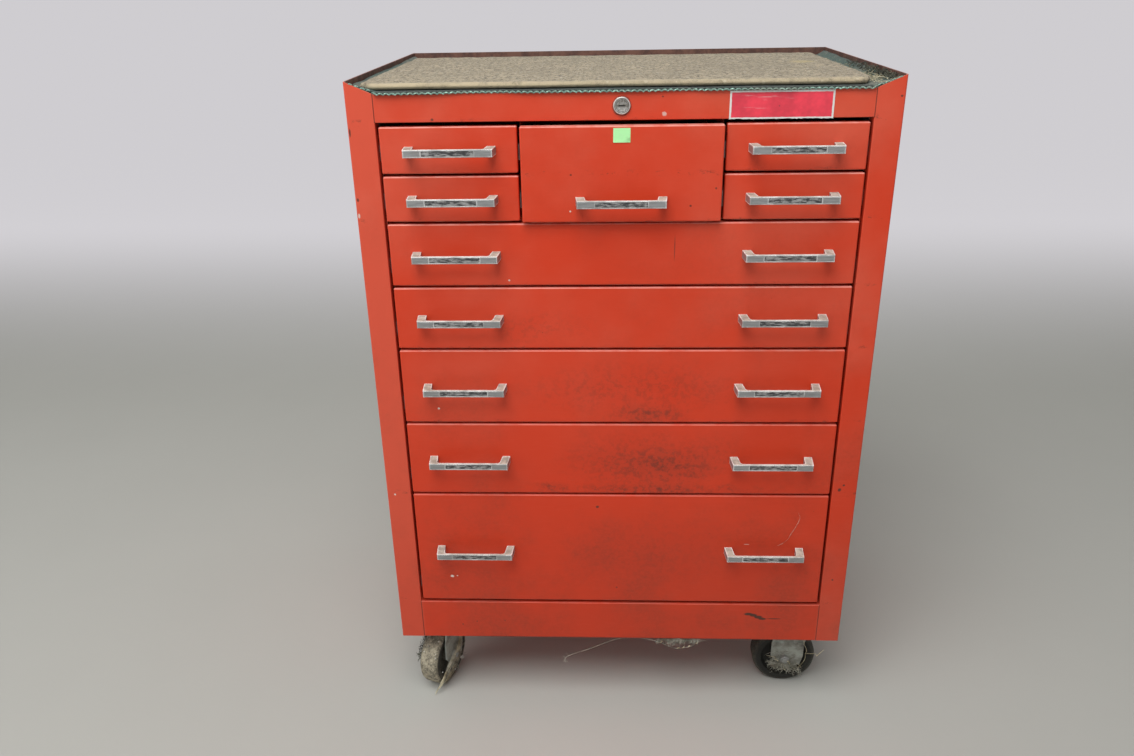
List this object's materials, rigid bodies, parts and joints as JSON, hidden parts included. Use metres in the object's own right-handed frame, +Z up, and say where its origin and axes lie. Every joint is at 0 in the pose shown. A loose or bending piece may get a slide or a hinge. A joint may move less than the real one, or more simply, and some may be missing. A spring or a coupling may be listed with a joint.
{
  "type": "roller tool cabinet",
  "caption": "Sheet-steel roller tool cabinet with drawers, bar pulls, a key lock, a lined top tray with a worn pad, and swivel casters",
  "frame": {"origin": "on the floor, under the middle of the overall outline in plan", "axes": "+X to the right across the drawer fronts, +Y from the front to the back, +Z up"},
  "size_m": [0.686, 0.4906, 0.973],
  "materials": {
    "cabinet_enamel": "worn orange-red enamel",
    "pull_chrome": "bright die-cast, lightly hazed",
    "zinc_steel": "dull zinc-plated steel",
    "lock_steel": "bright turned steel",
    "fork_steel": "dull grey with grime",
    "wheel_rubber": "dusty hard rubber",
    "liner_fabric": "green woven anti-slip liner",
    "pad_fabric": "worn tan fibre pad"
  },
  "bodies": {
    "cabinet": {"side_panel_left": "cabinet_enamel", "side_panel_right": "cabinet_enamel", "back_panel": "cabinet_enamel", "top_tray": "cabinet_enamel", "front_top_rail": "cabinet_enamel", "front_bottom_rail": "cabinet_enamel", "base_pan": "cabinet_enamel", "slide_uprights": "zinc_steel", "bank_shelf": "cabinet_enamel", "bank_dividers": "cabinet_enamel", "slide_channels": "zinc_steel", "lock_housing": "lock_steel", "lock_nut": "zinc_steel", "lock_rod_bracket": "zinc_steel", "lock_bar_guides": "zinc_steel", "caster_plates": "zinc_steel", "caster_bolts": "zinc_steel", "tray_liner": "liner_fabric", "top_pad": "pad_fabric"},
    "drawer_wide_1_body": {"drawer_wide_1": "cabinet_enamel", "drawer_wide_1_runners": "zinc_steel", "drawer_wide_1_pulls": "pull_chrome"},
    "drawer_wide_2_body": {"drawer_wide_2": "cabinet_enamel", "drawer_wide_2_runners": "zinc_steel", "drawer_wide_2_pulls": "pull_chrome"},
    "drawer_wide_3_body": {"drawer_wide_3": "cabinet_enamel", "drawer_wide_3_runners": "zinc_steel", "drawer_wide_3_pulls": "pull_chrome"},
    "drawer_wide_4_body": {"drawer_wide_4": "cabinet_enamel", "drawer_wide_4_runners": "zinc_steel", "drawer_wide_4_pulls": "pull_chrome"},
    "drawer_wide_5_body": {"drawer_wide_5": "cabinet_enamel", "drawer_wide_5_runners": "zinc_steel", "drawer_wide_5_pulls": "pull_chrome"},
    "drawer_left_upper_body": {"drawer_left_upper": "cabinet_enamel", "drawer_left_upper_pull": "pull_chrome"},
    "drawer_left_lower_body": {"drawer_left_lower": "cabinet_enamel", "drawer_left_lower_pull": "pull_chrome"},
    "drawer_middle_body": {"drawer_middle": "cabinet_enamel", "drawer_middle_pull": "pull_chrome"},
    "drawer_right_upper_body": {"drawer_right_upper": "cabinet_enamel", "drawer_right_upper_pull": "pull_chrome"},
    "drawer_right_lower_body": {"drawer_right_lower": "cabinet_enamel", "drawer_right_lower_pull": "pull_chrome"},
    "lock_turn": {"lock_plug": "lock_steel", "lock_rod": "zinc_steel"},
    "lock_bar_body": {"lock_bar": "zinc_steel"},
    "swivel_front_left": {"fork_front_left": "fork_steel", "axle_front_left": "zinc_steel"},
    "wheel_front_left_body": {"wheel_front_left": "wheel_rubber"},
    "swivel_front_right": {"fork_front_right": "fork_steel", "axle_front_right": "zinc_steel"},
    "wheel_front_right_body": {"wheel_front_right": "wheel_rubber"},
    "swivel_rear_left": {"fork_rear_left": "fork_steel", "axle_rear_left": "zinc_steel"},
    "wheel_rear_left_body": {"wheel_rear_left": "wheel_rubber"},
    "swivel_rear_right": {"fork_rear_right": "fork_steel", "axle_rear_right": "zinc_steel"},
    "wheel_rear_right_body": {"wheel_rear_right": "wheel_rubber"}
  },
  "joints": [
    {"name": "drawer_wide_1_slide", "type": "slide", "parent": "cabinet", "child": "drawer_wide_1_body", "axis": [0, -1, 0], "range_m": [0, 0.3]},
    {"name": "drawer_wide_2_slide", "type": "slide", "parent": "cabinet", "child": "drawer_wide_2_body", "axis": [0, -1, 0], "range_m": [0, 0.3]},
    {"name": "drawer_wide_3_slide", "type": "slide", "parent": "cabinet", "child": "drawer_wide_3_body", "axis": [0, -1, 0], "range_m": [0, 0.3]},
    {"name": "drawer_wide_4_slide", "type": "slide", "parent": "cabinet", "child": "drawer_wide_4_body", "axis": [0, -1, 0], "range_m": [0, 0.3]},
    {"name": "drawer_wide_5_slide", "type": "slide", "parent": "cabinet", "child": "drawer_wide_5_body", "axis": [0, -1, 0], "range_m": [0, 0.3]},
    {"name": "drawer_left_upper_slide", "type": "slide", "parent": "cabinet", "child": "drawer_left_upper_body", "axis": [0, -1, 0], "range_m": [0, 0.3]},
    {"name": "drawer_left_lower_slide", "type": "slide", "parent": "cabinet", "child": "drawer_left_lower_body", "axis": [0, -1, 0], "range_m": [0, 0.3]},
    {"name": "drawer_middle_slide", "type": "slide", "parent": "cabinet", "child": "drawer_middle_body", "axis": [0, -1, 0], "range_m": [-0.009, 0.29]},
    {"name": "drawer_right_upper_slide", "type": "slide", "parent": "cabinet", "child": "drawer_right_upper_body", "axis": [0, -1, 0], "range_m": [0, 0.3]},
    {"name": "drawer_right_lower_slide", "type": "slide", "parent": "cabinet", "child": "drawer_right_lower_body", "axis": [0, -1, 0], "range_m": [0, 0.3]},
    {"name": "lock_key_turn", "type": "hinge", "parent": "cabinet", "child": "lock_turn", "pos_m": [0, -0.21175, 0.9409], "axis": [0, 1, 0], "range_deg": [0, 90]},
    {"name": "lock_bar_drop", "type": "slide", "parent": "cabinet", "child": "lock_bar_body", "axis": [0, 0, 1], "range_m": [-0.007, 0]},
    {"name": "swivel_front_left_turn", "type": "hinge", "parent": "cabinet", "child": "swivel_front_left", "pos_m": [-0.288, -0.14175, 0.1226], "axis": [0, 0, 1], "continuous": true},
    {"name": "wheel_front_left_roll", "type": "hinge", "parent": "swivel_front_left", "child": "wheel_front_left_body", "pos_m": [-0.29302, -0.15482, 0.0508], "axis": [0.9336, -0.3584, 0], "continuous": true},
    {"name": "swivel_front_right_turn", "type": "hinge", "parent": "cabinet", "child": "swivel_front_right", "pos_m": [0.288, -0.14175, 0.1226], "axis": [0, 0, 1], "continuous": true},
    {"name": "wheel_front_right_roll", "type": "hinge", "parent": "swivel_front_right", "child": "wheel_front_right_body", "pos_m": [0.274, -0.14175, 0.0508], "axis": [0, -1, 0], "continuous": true},
    {"name": "swivel_rear_left_turn", "type": "hinge", "parent": "cabinet", "child": "swivel_rear_left", "pos_m": [-0.288, 0.17525, 0.1226], "axis": [0, 0, 1], "continuous": true},
    {"name": "wheel_rear_left_roll", "type": "hinge", "parent": "swivel_rear_left", "child": "wheel_rear_left_body", "pos_m": [-0.279, 0.18598, 0.0508], "axis": [-0.766, 0.6428, 0], "continuous": true},
    {"name": "swivel_rear_right_turn", "type": "hinge", "parent": "cabinet", "child": "swivel_rear_right", "pos_m": [0.288, 0.17525, 0.1226], "axis": [0, 0, 1], "continuous": true},
    {"name": "wheel_rear_right_roll", "type": "hinge", "parent": "swivel_rear_right", "child": "wheel_rear_right_body", "pos_m": [0.27697, 0.18387, 0.0508], "axis": [-0.6157, -0.788, 0], "continuous": true}
  ],
  "couplings": [
    {"joint": "lock_key_turn", "follows": "lock_bar_drop", "rad_per_m": -224.4}
  ]
}
